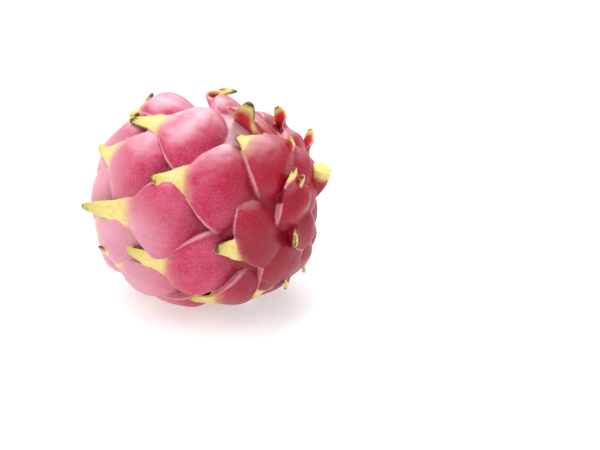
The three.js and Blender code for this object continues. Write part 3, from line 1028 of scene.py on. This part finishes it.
@dataclass
class Fruit:
    """The fruit grown as one piece: body, scales and cut stem in one skin, sizes in millimetres."""

    body: Body = field(default_factory=Body)
    spiral: Spiral = field(default_factory=Spiral)
    habit: ScaleHabit = field(default_factory=ScaleHabit)
    stub_radius: float = 4.4
    stub_flare: float = 1.25
    stub_taper: float = 0.32
    stub_ribs: int = 5
    stub_rib_height: float = 0.05
    curled_flesh: float = 0.35
    stem_flesh: float = 1.3
    voxel: float = 0.4
    smooth_factor: float = 0.5
    smooth_steps: int = 3
    navel_radius: float = 6.2
    swell: float = 0.4
    swell_size: float = 9
    ripple: float = 0.35
    ripple_rate: float = 3
    most_triangles: int = 190_000
    pillow_stations: int = 34
    blade_stations: int = 26
    top_points: int = 33
    under_points: int = 15

    def add_scale(self, shell: Shell, number: int) -> None:
        """Add one scale's closed shell.

        Args:
            shell: The shell that collects all of them.
            number: The scale's number along the spiral.
        """
        scale = Scale(number, self.body, self.spiral, self.habit)
        pillow = np.linspace(-scale.back, scale.front, self.pillow_stations)
        blade = np.linspace(scale.front, scale.front + scale.blade, self.blade_stations + 1)
        over = np.linspace(-1, 1, self.top_points)
        under = np.linspace(1, -1, self.under_points)
        rings, knows = [], []
        for s in [*pillow, *blade[1:]]:
            rings.append(np.concatenate([scale.row(s, over, True), scale.row(s, under, False)]))
            reach = s - scale.front
            share = reach / scale.blade if reach > 0 else reach / (scale.front + scale.back)
            fleshy = self.curled_flesh * scale.bent + self.stem_flesh * scale.stem_end
            share = share - fleshy * float(smoothstep(reach, -2, 2)) * (1 - max(share, 0))
            plump = float(smoothstep(s, -scale.back, 0.3 * scale.front)) * (1 - over**4)
            upper = known(over, share, np.abs(over), 0, scale.withering, plump)
            inner = 1 - np.abs(under) ** 6
            lower = known(under, share, np.abs(under), inner, scale.withering, 0)
            knows.append(np.concatenate([upper, lower]))
        shell.loft(rings, knows)

    def add_body(self, shell: Shell, rings: int = 90, sides: int = 120) -> None:
        """Add the smooth egg's closed shell, which knows that it lies behind and between scales.

        Args:
            shell: The shell that collects all of them.
            rings: How many rings it has along the axis, less one.
            sides: How many points there are in a ring.
        """
        turns = np.linspace(0, 2 * math.pi, sides, endpoint=False)
        loops = []
        for i in range(rings + 1):
            angle = math.pi * (i + 0.05) / (rings + 0.1) - math.pi / 2
            reach = self.body.flower_reach if angle < 0 else self.body.stem_reach
            p = np.array([math.sin(angle) * reach, math.cos(angle) * self.body.radius, 0])
            p = p / self.body.measure(p)
            ring = [np.full(sides, p[0]), -p[1] * np.cos(turns), -p[1] * np.sin(turns)]
            loops.append(np.stack(ring, -1))
        shell.loft(loops, [known(turns, -1, 1, 0, 0.5, 0)] * (rings + 1))

    def add_stub(self, shell: Shell, rings: int = 30, sides: int = 24) -> None:
        """Add the short cut stem, which leaves the end of the axis and bends upwards.

        Args:
            shell: The shell that collects all of them.
            rings: How many rings it has along its length.
            sides: How many points there are in a ring.
        """
        corners = np.array([[-7, 0, 4], [-1, -1, 8], [3, -2, 13], [5, -3, 18]])
        corners = corners + np.array([self.body.stem_reach, 0, 0])
        share = np.linspace(0, 1, rings)
        thirds = np.linspace(0, 1, len(corners))
        path = np.stack([np.interp(share, thirds, corners[:, i]) for i in range(3)], -1)
        for _ in range(3):
            path[1:-1] = (path[:-2] + path[1:-1] + path[2:]) / 3
        turns = np.linspace(0, 2 * math.pi, sides, endpoint=False)
        loops, knows = [], []
        for i, centre in enumerate(path):
            ahead = unit(path[min(i + 1, rings - 1)] - path[max(i - 1, 0)])
            side = unit(np.cross(ahead, np.array([0.0, 1, 0])))
            over = np.cross(ahead, side)
            ribs = 1 + self.stub_rib_height * np.cos(self.stub_ribs * turns)
            radius = self.stub_radius * (self.stub_flare - self.stub_taper * share[i]) * ribs
            spread = np.outer(np.cos(turns), side) + np.outer(np.sin(turns), over)
            loops.append(centre + radius[:, None] * spread)
            yellowed = -0.4 + 0.85 * share[i] ** 3
            knows.append(known(turns, yellowed, 0.2, 0, 0, 0.6))
        shell.loft(loops, knows)

    def skin(self) -> bpy.types.Object:
        """Grow all the shells together into one smooth skin.

        Returns:
            The skin's object, in metres in the row frame, with its attributes.
        """
        shell = Shell()
        self.add_body(shell)
        self.add_stub(shell)
        for number in range(self.spiral.first, self.spiral.last + 1):
            self.add_scale(shell, number)
        positions = shell.positions() * MM
        skin = add_mesh("dragon_fruit_peel", positions, shell.faces)
        remesh = skin.modifiers.new("grow", "REMESH")
        remesh.mode = "VOXEL"
        remesh.voxel_size = self.voxel * MM
        smooth = skin.modifiers.new("soften", "SMOOTH")
        smooth.factor = self.smooth_factor
        smooth.iterations = self.smooth_steps
        mesh = baked(skin)
        LOG.info("skin: %d faces after growing together", len(mesh.polygons))
        triangles = 2 * len(mesh.polygons)
        if triangles > self.most_triangles:
            fewer = skin.modifiers.new("fewer", "DECIMATE")
            fewer.ratio = self.most_triangles / triangles
            mesh = baked(skin)
        self.teach(mesh, positions, shell)
        self.weather(mesh)
        self.settle(mesh, positions)
        mesh.shade_smooth()
        return skin

    def teach(self, mesh: bpy.types.Mesh, positions: Array, shell: Shell) -> None:
        """Copy what the shells know onto the skin, each point from the nearest shell.

        Args:
            mesh: The skin.
            positions: The shells' points in metres.
            shell: The shells.
        """
        tree = BVHTree.FromPolygons(positions.tolist(), shell.faces)
        knowledge = shell.knowledge()
        found = np.zeros((len(mesh.vertices), knowledge.shape[1]))
        for i, vertex in enumerate(mesh.vertices):
            hit, _, face, _ = tree.find_nearest(vertex.co)
            corners = list(shell.faces[face])[:4]
            gaps = np.linalg.norm(positions[corners] - np.array(hit), axis=1)
            weights = 1 / (gaps + 1e-6)
            found[i] = weights @ knowledge[corners] / weights.sum()
        for column, what in enumerate(Know):
            layer = mesh.attributes.new(what.value, "FLOAT", "POINT")
            layer.data.foreach_set("value", found[:, column].astype(np.float32))

    def weather(self, mesh: bpy.types.Mesh) -> None:
        """Swell and sink the skin a little, as no two scales grow alike, and free the navel.

        Args:
            mesh: The skin, still about the body's middle.
        """
        points = read_points(mesh)
        normals = np.empty(len(mesh.vertices) * 3, np.float32)
        mesh.vertex_normals.foreach_get("vector", normals)
        places = [Vector(place) for place in points / (self.swell_size * MM)]
        swells = np.array([noise.noise(p) for p in places])
        ripples = np.array([noise.noise(p * self.ripple_rate) for p in places])
        waves = swells + self.ripple * ripples
        points += normals.reshape(-1, 3) * (self.swell * MM * waves)[:, None]
        floor = -self.body.flower_reach * MM
        in_navel = np.hypot(points[:, 1], points[:, 2]) < self.navel_radius * MM
        points[:, 0] = np.where(in_navel, np.maximum(points[:, 0], floor), points[:, 0])
        move_points(mesh, points)

    def settle(self, mesh: bpy.types.Mesh, positions: Array) -> None:
        """Stand the skin in the row frame, pressed flat where it rests.

        Args:
            mesh: The skin, still about the body's middle.
            positions: The shells' points in metres, which span the same box as the solid.
        """
        points = read_points(mesh)
        node_low, node_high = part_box("dragon_fruit")
        shift = (np.array(node_low) + np.array(node_high) - positions.min(0) - positions.max(0)) / 2
        shift[2] = self.body.axis_height * MM
        points += shift
        points[:, 2] = np.maximum(points[:, 2], 0)
        move_points(mesh, points)

    def build(self) -> bpy.types.Object:
        """Build and dress the whole fruit.

        Returns:
            The finished piece.
        """
        skin = self.skin()
        skin.data.materials.clear()
        skin.data.materials.append(PeelFinish().material())
        return skin


@dataclass(frozen=True)
class Studio:
    """A plain pale floor, soft light and the camera, in metres unless a name says otherwise."""

    mm_per_px: float = 0.425
    fruit_px: tuple[float, float] = (204, 199.5)
    middle_px: tuple[float, float] = (300, 225)
    frame_width_px: float = 600
    distance: float = 0.7
    azimuth: float = 8
    elevation: float = 22
    sensor: float = 36
    fruit_centre: tuple[float, float, float] = (-0.0034, 0.0, 0.0425)
    floor_half: float = 4.0
    floor_colour: str = "#C8C8C8"
    floor_glow: float = 0.5
    white: str = "#FFFFFF"
    sky: float = 0.72
    window_energy: float = 1.7
    window_degrees: float = 45
    window_way: tuple[float, float, float] = (0.35, 0.12, -0.93)
    sheen_spot: tuple[float, float, float] = (0.12, 0.5, 0.75)
    sheen_aim: tuple[float, float, float] = (0, 0, 0.04)
    sheen_size: float = 0.45
    sheen_power: float = 4.0

    def camera(self) -> None:
        """Put the camera so that the fruit falls where it should in the frame."""
        a, e = math.radians(self.azimuth), math.radians(self.elevation)
        back = Vector((math.sin(a) * math.cos(e), -math.cos(a) * math.cos(e), math.sin(e)))
        right = Vector((math.cos(a), math.sin(a), 0))
        up = back.cross(right)
        focal = self.distance / (self.mm_per_px * MM)
        dx = self.middle_px[0] - self.fruit_px[0]
        dy = self.middle_px[1] - self.fruit_px[1]
        look = (-back * focal + right * dx - up * dy).normalized()
        side = look.cross(Vector((0, 0, 1))).normalized()
        over = side.cross(look)
        data = bpy.data.cameras.new("camera")
        data.sensor_width = self.sensor
        data.lens = focal * self.sensor / self.frame_width_px
        made = put("camera", data)
        turn = Matrix((side, over, -look)).transposed().to_4x4()
        spot = Vector(self.fruit_centre) + back * self.distance
        made.matrix_world = Matrix.Translation(spot) @ turn
        bpy.context.scene.camera = made

    def floor(self) -> None:
        """Lay the pale floor."""
        half = self.floor_half
        corners = [[-half, -half, 0], [half, -half, 0], [half, half, 0], [-half, half, 0]]
        made = add_mesh("floor", np.array(corners), [(0, 1, 2, 3)])
        # Matt white floor that reaches out of sight; its glow stands for light thrown back
        paint = bpy.data.materials.new("white_sweep")
        paint.use_nodes = True
        inputs = paint.node_tree.nodes["Principled BSDF"].inputs
        inputs["Base Color"].default_value = srgb(self.floor_colour)
        inputs["Roughness"].default_value = 0.8
        inputs["Emission Color"].default_value = srgb(self.white)
        inputs["Emission Strength"].default_value = self.floor_glow
        made.data.materials.append(paint)

    def hang(self, light: bpy.types.Light, spot: Vector, way: Vector) -> None:
        """Hang a lamp.

        Args:
            light: What shines.
            spot: Where it hangs.
            way: The direction in which it shines.
        """
        lamp = put(light.name, light)
        lamp.location = spot
        lamp.rotation_euler = way.to_track_quat("-Z", "Y").to_euler()

    def light(self) -> None:
        """Hang the soft lights and fill the world with white."""
        world = bpy.data.worlds.new("white")
        world.use_nodes = True
        inputs = world.node_tree.nodes["Background"].inputs
        inputs["Color"].default_value = srgb(self.white)
        inputs["Strength"].default_value = self.sky
        bpy.context.scene.world = world
        window = bpy.data.lights.new("window", "SUN")
        window.energy = self.window_energy
        window.angle = math.radians(self.window_degrees)
        self.hang(window, Vector((0, 0, 0)), Vector(self.window_way))
        sheen = bpy.data.lights.new("sheen", "AREA")
        sheen.shape = "DISK"
        sheen.size = self.sheen_size
        sheen.energy = self.sheen_power
        spot = Vector(self.sheen_spot)
        self.hang(sheen, spot, Vector(self.sheen_aim) - spot)

    def build(self) -> None:
        """Set up the whole studio."""
        self.floor()
        self.light()
        self.camera()
        bpy.context.scene.view_settings.view_transform = "Standard"


def main() -> None:
    """Dress the fruit and set up the studio."""
    logging.basicConfig(level=logging.INFO, format="%(name)s: %(message)s")
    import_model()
    Studio().build()
    fruit = Fruit().build()
    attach(fruit, "root")
    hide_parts("dragon_fruit")
    LOG.info("fruit: %d triangles", sum(len(p.vertices) - 2 for p in fruit.data.polygons))
    flower = DriedFlower().build()
    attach(flower, "root")
    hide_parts("dried_flower")


if __name__ == "__main__":
    main()
